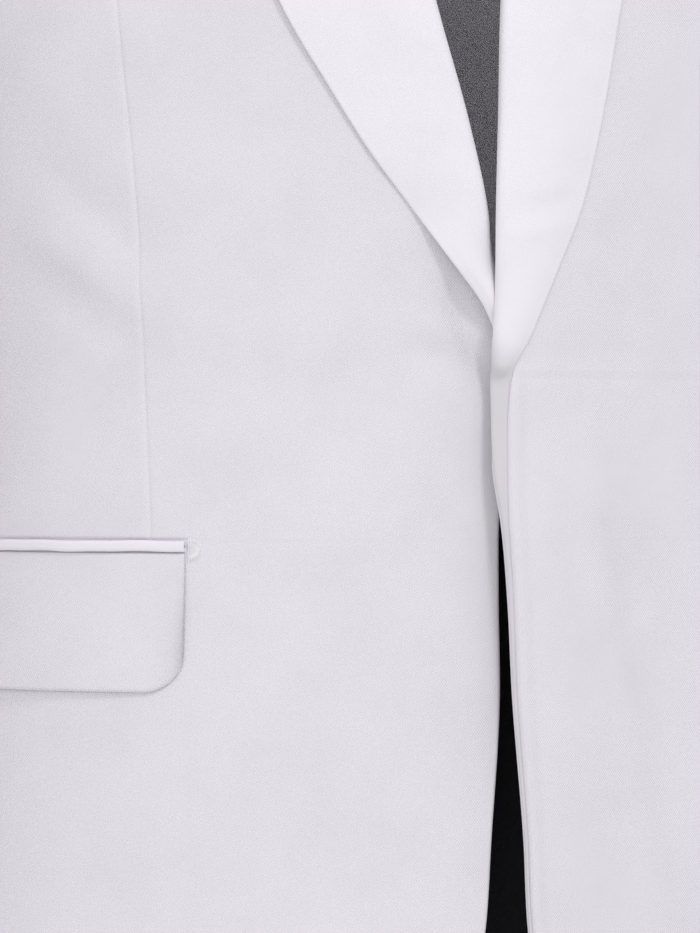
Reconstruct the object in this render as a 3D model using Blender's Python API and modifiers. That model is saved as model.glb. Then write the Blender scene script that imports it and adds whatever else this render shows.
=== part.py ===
"""A white shawl-collar dinner jacket over black trousers, worn: open cloth shells on a general figure.

Metres, +Z up. The front faces -Y and the wearer's left is +X. The origin is the nape, where the wearer's
neck carries the jacket. Every piece is laid out for the wearer's left side, and mirrored for the right.
"""

import math

import bmesh
import bpy
import numpy as np

# ---------------------------------------------------------------- sizes

WOOL_WALL = 0.0018          # jacket panels, with their fused canvas
SHAWL_WALL = 0.0016
SHAWL_PUFF = 0.0012         # how far the leaf bows out between its fold and its edge
FLAP_WALL = 0.0020
WELT_WALL = 0.0024
TROUSER_WALL = 0.0015
SEAM_GAP = 0.0004           # between the outer faces of two pieces that are sewn together
SHOULDER_GAP = math.radians(0.2)        # of climb, each side of the shoulder seam
LAY_GAP = 0.0008            # under a pocket piece, which lies on the front
SHAWL_GAP = 0.0014          # under the shawl, which rolls more freely
STAND_INSET = 0.0016        # of the collar stand, inside the neckline's edge

ARMPIT = -0.235             # height of the underarm, where the shoulders' roll starts
CLIMB_RISE = 0.25           # metres of height for each radian of climb, below the underarm
JACKET_HEM = -0.745
ROUNDNESS = 2.25            # power of the sections' rounded ellipse
SIDE_SEAM = 0.93            # half width at which the fronts and backs meet the side panels

NECK_HALF = 0.075           # side neck point
NECK_TOP = 0.016            # height of the side neck point
SHOULDER_HALF = 0.222       # shoulder point
SHOULDER_TOP = -0.045
NECKLINE_DIP = math.radians(20.6)       # of climb, from the ridge down to the nape
NECKLINE_POWER = 0.6
UNDERARM_SCOOP = 0.013

OVERLAP_LIFT = 0.0085       # how far the left front's edge rides over the right one
OVERLAP_EDGE = 0.012        # x up to which it is lifted in full
OVERLAP_REACH = 0.075       # x where that lift has faded out
OVERLAP_TOP = -0.330        # height above which it fades too
OVERLAP_FADE = 0.120

WAIST_TOP = -0.450
WAISTBAND = 0.040
TROUSER_HEM = -1.490

POCKET_TOP = -0.4949
POCKET_START = math.radians(34)
POCKET_END = math.radians(96)
WELT_HEIGHT = 0.0042
FLAP_HEIGHT = 0.0490
FLAP_CORNER = 0.011


class Table:
    """Rows of named columns, keyed by the first one and read between rows on a smooth curve."""

    def __init__(self, columns, rows):
        self.names = columns.split()
        self.rows = np.array(sorted(rows))
        self.keys = self.rows[:, 0]

    def at(self, key, column):
        keys = self.keys
        values = self.rows[:, self.names.index(column)]
        slopes = np.gradient(values, keys)
        key = min(max(key, keys[0]), keys[-1])
        i = min(int(np.searchsorted(keys, key, side="right")) - 1, len(keys) - 2)
        span = keys[i + 1] - keys[i]
        t = (key - keys[i]) / span
        ends = values[i] * (2 * t + 1) * (1 - t) ** 2 + values[i + 1] * (3 - 2 * t) * t * t
        bends = span * (slopes[i] * t * (1 - t) ** 2 - slopes[i + 1] * (1 - t) * t * t)
        return float(ends + bends)


TRUNK = Table("z half_width front back", [
    (0.030, 0.240, 0.128, 0.132),
    (-0.050, 0.235, 0.133, 0.146),
    (-0.120, 0.218, 0.138, 0.150),
    (-0.180, 0.200, 0.141, 0.147),
    (-0.235, 0.187, 0.143, 0.140),
    (-0.300, 0.182, 0.143, 0.130),
    (-0.360, 0.175, 0.140, 0.119),
    (-0.430, 0.170, 0.137, 0.115),
    (-0.500, 0.171, 0.137, 0.119),
    (-0.600, 0.179, 0.140, 0.131),
    (-0.700, 0.188, 0.143, 0.138),
    (-0.760, 0.192, 0.145, 0.141),
])

# The armhole's edge across the body; the row past the ridge keeps the curve level at the shoulder point.
ARMHOLE = Table("climb_degrees x", [
    (0, 0.174),
    (20, 0.170),
    (45, 0.177),
    (70, 0.204),
    (90, 0.222),
    (110, 0.204),
])

# Both front edges below the neck, and both shawls' outer edges, across the body (+X is the wearer's left).
FRONT_EDGES = Table("z right left", [
    (-0.100, -0.058, 0.049),
    (-0.170, -0.047, 0.028),
    (-0.235, -0.035, 0.012),
    (-0.306, -0.019, 0.0043),
    (-0.348, -0.0065, 0.0034),
    (-0.380, 0.0012, 0.0027),
    (-0.398, 0.0032, 0.0026),
    (-0.410, 0.0072, 0.0025),
    (-0.430, 0.0105, 0.0018),
    (-0.445, 0.0105, 0.0017),
    (-0.472, 0.0078, 0.0022),
    (-0.488, 0.0066, 0.0044),
    (-0.515, 0.0064, 0.0064),
    (-0.550, 0.0066, 0.0078),
    (-0.600, 0.0030, 0.0119),
    (-0.632, 0.0004, 0.0136),
    (-0.660, -0.0045, 0.0175),
    (-0.690, -0.0140, 0.0265),
    (-0.715, -0.0300, 0.0420),
    (-0.734, -0.0540, 0.0660),
    (-0.745, -0.0860, 0.0970),
])
SHAWL_EDGES = Table("z right left", [
    (-0.080, -0.112, 0.108),
    (-0.140, -0.107, 0.095),
    (-0.190, -0.101, 0.080),
    (-0.235, -0.093, 0.067),
    (-0.270, -0.083, 0.058),
    (-0.306, -0.073, 0.0503),
    (-0.338, -0.0545, 0.0445),
    (-0.359, -0.0410, 0.0400),
    (-0.380, -0.0250, 0.0340),
    (-0.397, -0.0125, 0.0266),
    (-0.414, 0.0000, 0.0194),
    (-0.425, 0.0050, 0.0149),
    (-0.434, 0.0080, 0.0100),
    (-0.450, 0.0080, 0.0074),
    (-0.467, 0.0080, 0.0070),
    (-0.484, 0.0080, 0.0070),
    (-0.515, 0.0080, 0.0086),
    (-0.550, 0.0080, 0.0098),
    (-0.600, 0.0080, 0.0134),
    (-0.632, 0.0080, 0.0148),
    (-0.690, 0.0080, 0.0280),
])
# The left facing runs on down the front's edge; the right shawl ends under the closing.
SHAWL_BOTTOM = {1: -0.690, -1: -0.424}
# Over the shoulder and round the neck the two shawls are alike; their fold follows the neckline.
SHAWL_BLEND_START = 30      # degrees of climb from which the chest's lines turn into the neck's
SHAWL_NECK = Table("climb_degrees edge_climb_degrees edge_x stand", [
    (66.0, 58.0, 0.1130, 0.008),
    (90.0, 90.0, 0.1240, 0.014),
    (99.0, 107.0, 0.1090, 0.020),
    (105.5, 118.0, 0.0800, 0.025),
    (109.5, 123.5, 0.0420, 0.028),
    (110.6, 125.0, 0.0000, 0.029),
])

SLEEVE = Table("step outer_x outer_z inner_x inner_z half_depth centre_y", [
    (0, 0.2225, -0.045, 0.188, -0.248, 0.0760, 0.000),
    (1, 0.2440, -0.052, 0.192, -0.252, 0.0755, 0.000),
    (2, 0.2650, -0.080, 0.197, -0.258, 0.0740, 0.000),
    (3, 0.2790, -0.130, 0.199, -0.270, 0.0715, 0.000),
    (4, 0.2860, -0.200, 0.199, -0.295, 0.0690, 0.001),
    (5, 0.2900, -0.280, 0.200, -0.335, 0.0650, 0.003),
    (6, 0.2920, -0.360, 0.203, -0.385, 0.0600, 0.004),
    (7, 0.2930, -0.450, 0.209, -0.455, 0.0555, -0.003),
    (8, 0.2940, -0.550, 0.214, -0.550, 0.0500, -0.014),
    (9, 0.2945, -0.655, 0.217, -0.650, 0.0450, -0.028),
])
ARMHOLE_GAP = 0.0009                    # between the trunk's edge and the sleeve head
SLEEVE_CELL = math.radians(22.5)        # turn of one cell of the sleeve's ring
ARMHOLE_CORNER = 6 * SLEEVE_CELL        # turn from the shoulder point down to the underarm
SLEEVE_SEAM = 5 * SLEEVE_CELL           # turn from the shoulder point down to either sleeve seam

TROUSERS = Table("z centre_x half_width front back", [
    (-0.450, 0.000, 0.1500, 0.116, 0.104),
    (-0.490, 0.000, 0.1530, 0.118, 0.107),
    (-0.550, 0.012, 0.1480, 0.118, 0.112),
    (-0.620, 0.040, 0.1270, 0.115, 0.113),
    (-0.680, 0.071, 0.1020, 0.110, 0.109),
    (-0.715, 0.0900, 0.0865, 0.104, 0.106),
    (-0.800, 0.096, 0.0830, 0.093, 0.098),
    (-1.000, 0.103, 0.0720, 0.077, 0.083),
    (-1.200, 0.109, 0.0640, 0.068, 0.075),
    (-1.490, 0.114, 0.0580, 0.060, 0.065),
])
TROUSER_ROWS = [-0.550, -0.610, -0.650, -0.680, -0.698, -0.709, -0.717, -0.745, -0.850, -1.000, -1.220]
LEG_SEAM_GAP = math.radians(0.25)


# ---------------------------------------------------------------- the figure's surface

def signed_power(value, power):
    return math.copysign(abs(value) ** power, value)


def shoulder_height(x):
    """Height of the shoulder's ridge, level inside the neck and sloping down to the shoulder point."""
    out = max(0.0, abs(x) - NECK_HALF) / (SHOULDER_HALF - NECK_HALF)
    return NECK_TOP - (NECK_TOP - SHOULDER_TOP) * out ** 1.2


def climb_at(x, z):
    """The climb of a point on the front: an angle up to the shoulder's ridge, negative below the underarm."""
    if z < ARMPIT:
        return (z - ARMPIT) / CLIMB_RISE
    return math.asin(min(1.0, (z - ARMPIT) / (shoulder_height(x) - ARMPIT)))


def over_trunk(x, climb):
    """A point of the trunk at x, climbing the front (below pi / 2), over the ridge and down the back."""
    if climb < 0:
        z = ARMPIT + climb * CLIMB_RISE
        forward = 1.0
    elif climb > math.pi:
        z = ARMPIT - (climb - math.pi) * CLIMB_RISE
        forward = -1.0
    else:
        z = ARMPIT + (shoulder_height(x) - ARMPIT) * math.sin(climb)
        forward = math.cos(climb)
    depth = TRUNK.at(z, "front" if forward > 0 else "back")
    across = min(abs(x) / TRUNK.at(z, "half_width"), 0.999)
    reach = (1 - across ** ROUNDNESS) ** (1 / ROUNDNESS)
    return np.array((x, -depth * reach * forward, z))


def round_section(table, z, angle, centre_x=0.0):
    """A point of a rounded ellipse at height z; the angle turns from the front (0) past the side (pi / 2)."""
    depth = table.at(z, "front" if math.cos(angle) > 0 else "back")
    x = centre_x + table.at(z, "half_width") * signed_power(math.sin(angle), 2 / ROUNDNESS)
    y = -depth * signed_power(math.cos(angle), 2 / ROUNDNESS)
    return np.array((x, y, z))


def round_trunk(angle, z):
    return round_section(TRUNK, z, angle)


def round_trousers(angle, z):
    return round_section(TROUSERS, z, angle, TROUSERS.at(z, "centre_x"))


def lifted(surface, u, v, lift):
    """A point of the surface, moved out along its normal."""
    step = 1e-4
    along_u = surface(u + step, v) - surface(u - step, v)
    along_v = surface(u, v + step) - surface(u, v - step)
    normal = np.cross(along_u, along_v)
    return surface(u, v) + normal * (lift / np.linalg.norm(normal))


def smooth_step(t):
    t = min(max(t, 0.0), 1.0)
    return t * t * (3 - 2 * t)


def spread(cells, border=0.012):
    """Even fractions from 0 to 1 with a narrow cell at both ends, so that a piece's rims stand square."""
    inner = [i / cells for i in range(1, cells)]
    return [0.0, border, *inner, 1 - border, 1.0]


# ---------------------------------------------------------------- making a piece

def cloth_material(name, colour, roughness):
    material = bpy.data.materials.new(name)
    material.use_nodes = True
    shader = material.node_tree.nodes["Principled BSDF"]
    shader.inputs["Base Color"].default_value = (*colour, 1.0)
    shader.inputs["Roughness"].default_value = roughness
    shader.inputs["Metallic"].default_value = 0.0
    return material


def make_piece(name, rows, side, wall, cloth, outward=False):
    """A cloth piece from a grid of points laid out for the left side, with its wall added by Solidify."""
    mesh = bmesh.new()
    grid = []
    for row in rows:
        points = [(point[0] * side, point[1], point[2]) for point in row]
        grid.append([mesh.verts.new(point) for point in points[::side]])
    for low, high in zip(grid, grid[1:]):
        for i in range(len(low) - 1):
            mesh.faces.new((low[i], low[i + 1], high[i + 1], high[i]))
    data = bpy.data.meshes.new(name)
    mesh.to_mesh(data)
    mesh.free()
    data.materials.append(cloth)
    data.shade_smooth()
    piece = bpy.data.objects.new(name, data)
    collection.objects.link(piece)
    solidify = piece.modifiers.new("wall", "SOLIDIFY")
    solidify.thickness = wall
    solidify.offset = 1.0 if outward else -1.0
    return piece


def side_name(side):
    return "left" if side > 0 else "right"


# ---------------------------------------------------------------- jacket

def overlap_lift(x, z, side):
    """How far a front stands off the trunk: only the left one's edge does, where it rides over the right."""
    if side < 0:
        return 0.0
    across = 1 - smooth_step((x - OVERLAP_EDGE) / (OVERLAP_REACH - OVERLAP_EDGE))
    up = 1 - smooth_step((z - OVERLAP_TOP) / OVERLAP_FADE)
    return OVERLAP_LIFT * across * up


def front_edge(z, side):
    return side * FRONT_EDGES.at(z, side_name(side))


def on_front(x, climb, side, lift=0.0):
    z = over_trunk(x, climb)[2]
    return lifted(over_trunk, x, climb, overlap_lift(x, z, side) + lift)


TRUNK_ROWS = [JACKET_HEM, -0.738, -0.722, -0.698, -0.660, -0.610, -0.550, -0.490, -0.435, -0.380, -0.330,
              -0.280, ARMPIT]
UPPER_CELLS = 6             # rows of cells from the underarm to the shoulder seam


def front_column_shares(cells):
    """Shares of a front's width that crowd towards the side seam, where the section turns most."""
    seam = math.asin(SIDE_SEAM ** (ROUNDNESS / 2))
    return [math.sin(share * seam) / math.sin(seam) for share in spread(cells)]


def make_front(side, cloth):
    shares = front_column_shares(8)
    rows = []
    for z in TRUNK_ROWS:
        inner = front_edge(z, side)
        outer = TRUNK.at(z, "half_width") * SIDE_SEAM - SEAM_GAP / 2
        climb = climb_at(inner, z)
        rows.append([on_front(inner + (outer - inner) * share, climb, side) for share in shares])
    top = math.pi / 2 - SHOULDER_GAP
    for share in spread(UPPER_CELLS)[2:]:
        climb = share * top
        outer = ARMHOLE.at(math.degrees(climb), "x") - SEAM_GAP / 2
        inner = shawl_roll(climb, side)[0]
        rows.append([on_front(inner + (outer - inner) * s, climb, side) for s in shares])
    make_piece("front_" + side_name(side), rows, side, WOOL_WALL, cloth)


def make_side(side, cloth):
    seam = math.asin(SIDE_SEAM ** (ROUNDNESS / 2)) + SEAM_GAP / 2 / 0.1
    rows = []
    for z in TRUNK_ROWS:
        row = []
        for share in spread(4):
            angle = seam + (math.pi - 2 * seam) * share
            scoop = UNDERARM_SCOOP * math.sin(math.pi * share) * smooth_step((z - ARMPIT + 0.1) / 0.1)
            row.append(round_trunk(angle, z - scoop))
        rows.append(row)
    make_piece("side_" + side_name(side), rows, side, WOOL_WALL, cloth)


def neckline_climb(x):
    """The back's top edge: the shoulder's ridge, dipping to the nape inside the neck."""
    across = min(x / NECK_HALF, 1.0)
    return math.pi / 2 + NECKLINE_DIP * (1 - across ** 2) ** NECKLINE_POWER


def neckline_x(climb):
    """The same edge the other way round: its x at a climb past the ridge."""
    dip = min(1.0, max(0.0, (climb - math.pi / 2) / NECKLINE_DIP))
    return NECK_HALF * math.sqrt(1 - dip ** (1 / NECKLINE_POWER))


def make_back(side, cloth):
    shares = front_column_shares(7)
    rows = []
    for z in TRUNK_ROWS:
        outer = TRUNK.at(z, "half_width") * SIDE_SEAM - SEAM_GAP / 2
        climb = math.pi + (ARMPIT - z) / CLIMB_RISE
        rows.append([over_trunk(SEAM_GAP / 2 + (outer - SEAM_GAP / 2) * s, climb) for s in shares])
    for share in spread(UPPER_CELLS)[2:]:
        outer = ARMHOLE.at(90 * share, "x") - SEAM_GAP / 2
        row = []
        for s in shares:
            x = SEAM_GAP / 2 + (outer - SEAM_GAP / 2) * s
            top = neckline_climb(x) + SHOULDER_GAP
            row.append(over_trunk(x, math.pi + (top - math.pi) * share))
        rows.append(row)
    # The rows run up the back, so their order is turned round to keep the outer face out.
    make_piece("back_" + side_name(side), rows[::-1], side, WOOL_WALL, cloth)


def armhole_point(turn):
    """The armhole's edge as a ring: 0 is the shoulder point, then the front, the underarm and the back."""
    if turn < ARMHOLE_CORNER or turn > math.tau - ARMHOLE_CORNER:
        down = min(turn, math.tau - turn) / ARMHOLE_CORNER
        x = ARMHOLE.at(90 * (1 - down), "x")
        climb = (1 - down) * math.pi / 2
        return over_trunk(x, climb if turn < math.pi else math.pi - climb)
    seam = math.asin(SIDE_SEAM ** (ROUNDNESS / 2))
    share = (turn - ARMHOLE_CORNER) / (math.tau - 2 * ARMHOLE_CORNER)
    z = ARMPIT - UNDERARM_SCOOP * math.sin(math.pi * share)
    return round_trunk(seam + (math.pi - 2 * seam) * share, z)


def sleeve_point(turn, step):
    """A point of the sleeve: it leaves the armhole's ring and settles into leaning ellipses."""
    turn = turn % math.tau
    outer = np.array((SLEEVE.at(step, "outer_x"), 0.0, SLEEVE.at(step, "outer_z")))
    inner = np.array((SLEEVE.at(step, "inner_x"), 0.0, SLEEVE.at(step, "inner_z")))
    centre = (outer + inner) / 2 + (0.0, SLEEVE.at(step, "centre_y"), 0.0)
    ahead = np.array((0.0, -SLEEVE.at(step, "half_depth"), 0.0))
    arm = centre + (outer - inner) / 2 * math.cos(turn) + ahead * math.sin(turn)
    socket = armhole_point(turn) + (ARMHOLE_GAP + 0.004 * step, 0.0, 0.0)
    return socket + (arm - socket) * smooth_step(step / 3)


def make_sleeve(side, cloth):
    steps = [0, 0.5, 1.2, 2, 3, 4, 5, 6, 7.5, 9]
    gap = SEAM_GAP / 2 / 0.06
    top = (gap - SLEEVE_SEAM, SLEEVE_SEAM - gap, 10)
    under = (SLEEVE_SEAM + gap, math.tau - SLEEVE_SEAM - gap, 6)
    for part, (start, end, cells) in (("top", top), ("under", under)):
        turns = [start + (end - start) * share for share in spread(cells)]
        rows = [[sleeve_point(turn, step) for turn in turns] for step in steps]
        make_piece(f"sleeve_{part}_{side_name(side)}", rows, side, WOOL_WALL, cloth)


def shawl_roll(climb, side):
    """The shawl's fold line at a climb: its x, own side positive, and its stand above the neckline."""
    degrees = math.degrees(climb)
    start = SHAWL_NECK.keys[0]
    if climb > math.pi / 2:
        return neckline_x(climb), SHAWL_NECK.at(degrees, "stand")
    x = front_edge(ARMPIT + climb * CLIMB_RISE, side)
    for _ in range(8):
        x = front_edge(over_trunk(x, climb)[2], side)
    blend = smooth_step((degrees - SHAWL_BLEND_START) / (90 - SHAWL_BLEND_START))
    stand_blend = smooth_step((degrees - SHAWL_BLEND_START) / (start - SHAWL_BLEND_START))
    stand = SHAWL_NECK.at(degrees, "stand") * stand_blend
    return x + (NECK_HALF - x) * blend, stand


def shawl_edge(climb, side):
    """The shawl's outer edge across from a climb of its fold line: its x and its own climb."""
    degrees = math.degrees(climb)
    start = SHAWL_NECK.keys[0]
    if degrees >= start:
        return SHAWL_NECK.at(degrees, "edge_x"), math.radians(SHAWL_NECK.at(degrees, "edge_climb_degrees"))
    z = over_trunk(shawl_roll(climb, side)[0], climb)[2]
    x = side * SHAWL_EDGES.at(z, side_name(side))
    blend = smooth_step((degrees - SHAWL_BLEND_START) / (start - SHAWL_BLEND_START))
    neck_x = SHAWL_NECK.at(start, "edge_x")
    neck_climb = math.radians(SHAWL_NECK.at(start, "edge_climb_degrees"))
    own_climb = climb_at(x, z)
    return x + (neck_x - x) * blend, own_climb + (neck_climb - own_climb) * blend


def shawl_point(climb, share, side):
    """A point of the shawl's leaf, from the fold line (0) to the outer edge (1)."""
    roll_x, stand = shawl_roll(climb, side)
    edge_x, edge_climb = shawl_edge(climb, side)
    x = roll_x + (edge_x - roll_x) * share
    own_climb = climb + (edge_climb - climb) * share
    puff = SHAWL_PUFF * math.sin(math.pi * share)
    point = on_front(x, own_climb, side, SHAWL_GAP + puff)
    return point + (0.0, 0.0, stand * (1 - share) ** 1.3)


def make_shawl(side, cloth):
    bottom = SHAWL_BOTTOM[side]
    low = [climb_at(0.0, z) for z in np.linspace(bottom, ARMPIT, 15 if side > 0 else 8)]
    high = list(np.radians([11, 22, 33, 44, 55, 66, 77, 85, 91, 96, 101, 105, 108, 110, 110.55]))
    rows = []
    for climb in low + high:
        rows.append([shawl_point(climb, share, side) for share in np.linspace(0, 1, 6)])
    make_piece("shawl_" + side_name(side), rows, side, SHAWL_WALL, cloth, outward=True)


def make_collar_stand(cloth):
    """The stand inside the neck, from the neckline's edge up to just under the shawl's fold."""
    climbs = np.radians([91, 96, 101, 105, 108, 110, 110.6])
    rows = []
    for share in (0.0, 0.5, 1.0):
        half = []
        for climb in climbs:
            x, stand = shawl_roll(climb, 1)
            foot = over_trunk(x, climb)
            inward = -foot * (1, 1, 0) / max(np.hypot(foot[0], foot[1]), 1e-6)
            half.append(foot + inward * (STAND_INSET + 0.002 * share)
                        + (0.0, 0.0, 2 * SEAM_GAP + (stand - 0.005) * share))
        other = [point * (-1, 1, 1) for point in half[-2::-1]]
        rows.append(half + other)
    make_piece("collar_stand", rows, 1, SHAWL_WALL, cloth)


def make_pocket(side, cloth):
    welt_foot = POCKET_TOP - WELT_HEIGHT
    welt = []
    for z in (welt_foot, POCKET_TOP):
        angles = [POCKET_START + (POCKET_END - POCKET_START) * share for share in np.linspace(0, 1, 11)]
        welt.append([lifted(round_trunk, angle, z, LAY_GAP) for angle in angles])
    make_piece("pocket_welt_" + side_name(side), welt, side, WELT_WALL, cloth, outward=True)

    top = welt_foot - SEAM_GAP
    arc_per_angle = 0.155 / (POCKET_END - POCKET_START)
    corner = [(1 - math.cos(turn), math.sin(turn)) for turn in np.radians([0, 30, 60, 90])]
    inner = np.linspace(POCKET_START, POCKET_END, 10)[1:-1]
    columns = [(POCKET_START + FLAP_CORNER * d / arc_per_angle, FLAP_CORNER * (1 - h)) for d, h in corner]
    columns += [(angle, 0.0) for angle in inner]
    columns += [(POCKET_END - FLAP_CORNER * d / arc_per_angle, FLAP_CORNER * (1 - h))
                for d, h in corner[::-1]]
    rows = []
    for share in np.linspace(1, 0, 5):
        rows.append([lifted(round_trunk, angle, top - (FLAP_HEIGHT - rise) * share, LAY_GAP)
                     for angle, rise in columns])
    make_piece("pocket_flap_" + side_name(side), rows, side, FLAP_WALL, cloth, outward=True)


# ---------------------------------------------------------------- trousers

def crotch_angle(z):
    """Where a leg's section stops: at the middle of the body above the fork, at the inseam below it."""
    reach = (TROUSERS.at(z, "centre_x") - SEAM_GAP / 2) / TROUSERS.at(z, "half_width")
    stop = math.asin(signed_power(min(1.0, reach), ROUNDNESS / 2))
    return min(stop, math.pi / 2 - LEG_SEAM_GAP)


def make_trousers(side, cloth):
    heights = [WAIST_TOP - WAISTBAND - SEAM_GAP, *TROUSER_ROWS, TROUSER_HEM][::-1]
    front = []
    back = []
    for z in heights:
        inner = crotch_angle(z)
        outer = math.pi / 2 - LEG_SEAM_GAP
        front.append([round_trousers(-inner + (outer + inner) * share, z) for share in spread(7)])
        back.append([round_trousers(math.pi - outer + (outer + inner) * share, z) for share in spread(7)])
    make_piece("trouser_front_" + side_name(side), front, side, TROUSER_WALL, cloth)
    make_piece("trouser_back_" + side_name(side), back, side, TROUSER_WALL, cloth)

    band = []
    for z in (WAIST_TOP - WAISTBAND, WAIST_TOP):
        ends = (SEAM_GAP, math.pi - SEAM_GAP)
        band.append([round_trousers(ends[0] + (ends[1] - ends[0]) * share, z) for share in spread(12)])
    make_piece("waistband_" + side_name(side), band, side, TROUSER_WALL, cloth)


# ---------------------------------------------------------------- all of it

for old in list(bpy.data.objects):
    bpy.data.objects.remove(old)

collection = bpy.data.collections.new("tuxedo")
bpy.context.scene.collection.children.link(collection)

white_wool = cloth_material("white_wool", (0.76, 0.74, 0.79), 0.85)
black_wool = cloth_material("black_wool", (0.012, 0.012, 0.014), 0.85)

for own_side in (-1, 1):
    make_front(own_side, white_wool)
    make_side(own_side, white_wool)
    make_back(own_side, white_wool)
    make_sleeve(own_side, white_wool)
    make_shawl(own_side, white_wool)
    make_pocket(own_side, white_wool)
    make_trousers(own_side, black_wool)
make_collar_stand(white_wool)
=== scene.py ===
"""A worn tuxedo: a white shawl-collar dinner jacket over black trousers, as fine cloth on its CAD walls.

Metres, +Z up. The front faces -Y and the wearer's left is +X. Every piece is laid out for the wearer's left
side, as a grid of points on the figure's surface moved out by its relief, and mirrored for the right.
"""

import math

import bpy
import numpy as np
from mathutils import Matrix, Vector


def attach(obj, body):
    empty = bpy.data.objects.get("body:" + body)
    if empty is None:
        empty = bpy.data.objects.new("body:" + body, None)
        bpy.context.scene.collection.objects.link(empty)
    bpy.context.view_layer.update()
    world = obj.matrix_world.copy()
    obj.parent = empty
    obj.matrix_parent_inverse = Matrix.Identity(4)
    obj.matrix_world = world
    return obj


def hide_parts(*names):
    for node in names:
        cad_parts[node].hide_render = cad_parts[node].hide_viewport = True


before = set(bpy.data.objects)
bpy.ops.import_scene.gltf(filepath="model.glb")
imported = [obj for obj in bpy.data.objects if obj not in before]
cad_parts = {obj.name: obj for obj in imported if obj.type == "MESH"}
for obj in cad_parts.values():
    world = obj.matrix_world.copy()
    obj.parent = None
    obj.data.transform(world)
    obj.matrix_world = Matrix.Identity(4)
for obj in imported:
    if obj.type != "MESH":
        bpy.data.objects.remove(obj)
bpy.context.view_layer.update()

# ---------------------------------------------------------------- sizes shared with the CAD

ARMPIT = -0.235             # height of the underarm, where the shoulders' roll starts
CLIMB_RISE = 0.25           # metres of height for each radian of climb, below the underarm
JACKET_HEM = -0.745
ROUNDNESS = 2.25            # power of the sections' rounded ellipse
SIDE_SEAM = 0.93            # share of the half width at which the fronts and backs meet the side panels
NECK_HALF = 0.075
NECK_TOP = 0.016
SHOULDER_HALF = 0.222
SHOULDER_TOP = -0.045
NECKLINE_DIP = math.radians(20.6)
NECKLINE_POWER = 0.6
UNDERARM_SCOOP = 0.013
OVERLAP_EDGE = 0.012
OVERLAP_REACH = 0.075
WAIST_TOP = -0.450
WAISTBAND = 0.040
TROUSER_HEM = -1.490
POCKET_TOP = -0.4949
POCKET_START = math.radians(34)
POCKET_END = math.radians(96)
WELT_HEIGHT = 0.0042
FLAP_HEIGHT = 0.0490
FLAP_CORNER = 0.013
STAND_INSET = 0.0016
NAPE_GAP = 0.003            # root of the share of the neckline's dip that is left open at the nape
ARMHOLE_CORNER = math.radians(135)
SLEEVE_SEAM = math.radians(112.5)
ARMHOLE_GAP = 0.0001

WOOL_WALL = 0.0012          # thickness of each kind of cloth wall
SHAWL_WALL = 0.0009
STAND_WALL = 0.0010
WELT_WALL = 0.0005
TROUSER_WALL = 0.0011
WAISTBAND_WALL = 0.0013

SIDE_PANEL_WIDTH = 0.12     # lengths that turn a share or an angle into metres of cloth
SHOULDER_DEPTH = 0.12
ARM_RADIUS = 0.06
LEG_HALF_ROUND = 0.26
LAST_SLEEVE_STEP = 9
SLEEVE_STEP_LENGTH = 0.1

SEAM_GAP = 0.00005          # half the gap that shows between two sewn edges
SEAM_ANGLE = 0.0003         # the same as an angle, across a limb or over the shoulder


class Table:
    """Rows of named columns, keyed by the first one and read between rows on a smooth curve."""

    def __init__(self, columns, rows):
        self.names = columns.split()
        self.rows = np.array(sorted(rows))
        self.keys = self.rows[:, 0]

    def at(self, key, column):
        keys = self.keys
        values = self.rows[:, self.names.index(column)]
        slopes = np.gradient(values, keys)
        key = np.clip(key, keys[0], keys[-1])
        i = np.clip(np.searchsorted(keys, key, side="right") - 1, 0, len(keys) - 2)
        span = keys[i + 1] - keys[i]
        t = (key - keys[i]) / span
        ends = values[i] * (2 * t + 1) * (1 - t) ** 2 + values[i + 1] * (3 - 2 * t) * t * t
        bends = span * (slopes[i] * t * (1 - t) ** 2 - slopes[i + 1] * (1 - t) * t * t)
        return ends + bends


TRUNK = Table("z half_width front back", [
    (0.030, 0.240, 0.128, 0.132),
    (-0.050, 0.235, 0.133, 0.146),
    (-0.120, 0.218, 0.138, 0.150),
    (-0.180, 0.200, 0.141, 0.147),
    (-0.235, 0.187, 0.143, 0.140),
    (-0.300, 0.182, 0.143, 0.130),
    (-0.360, 0.175, 0.140, 0.119),
    (-0.430, 0.170, 0.137, 0.115),
    (-0.500, 0.171, 0.137, 0.119),
    (-0.600, 0.179, 0.140, 0.131),
    (-0.700, 0.188, 0.143, 0.138),
    (-0.760, 0.192, 0.145, 0.141),
])
ARMHOLE = Table("climb_degrees x", [
    (0, 0.174),
    (20, 0.170),
    (45, 0.177),
    (70, 0.204),
    (90, 0.222),
    (110, 0.204),
])
FRONT_EDGES = Table("z right left", [
    (-0.100, -0.058, 0.049),
    (-0.170, -0.047, 0.028),
    (-0.235, -0.035, 0.012),
    (-0.306, -0.019, 0.0043),
    (-0.348, -0.0065, 0.0034),
    (-0.380, 0.0012, 0.0027),
    (-0.396, 0.0038, 0.0026),
    (-0.407, 0.0085, 0.0025),
    (-0.430, 0.0105, 0.0018),
    (-0.445, 0.0105, 0.0017),
    (-0.472, 0.0078, 0.0022),
    (-0.488, 0.0066, 0.0044),
    (-0.515, 0.0064, 0.0066),
    (-0.550, 0.0066, 0.0082),
    (-0.600, 0.0030, 0.0121),
    (-0.632, 0.0004, 0.0136),
    (-0.660, -0.0045, 0.0175),
    (-0.690, -0.0140, 0.0265),
    (-0.715, -0.0300, 0.0420),
    (-0.734, -0.0540, 0.0660),
    (-0.745, -0.0860, 0.0970),
])
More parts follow.
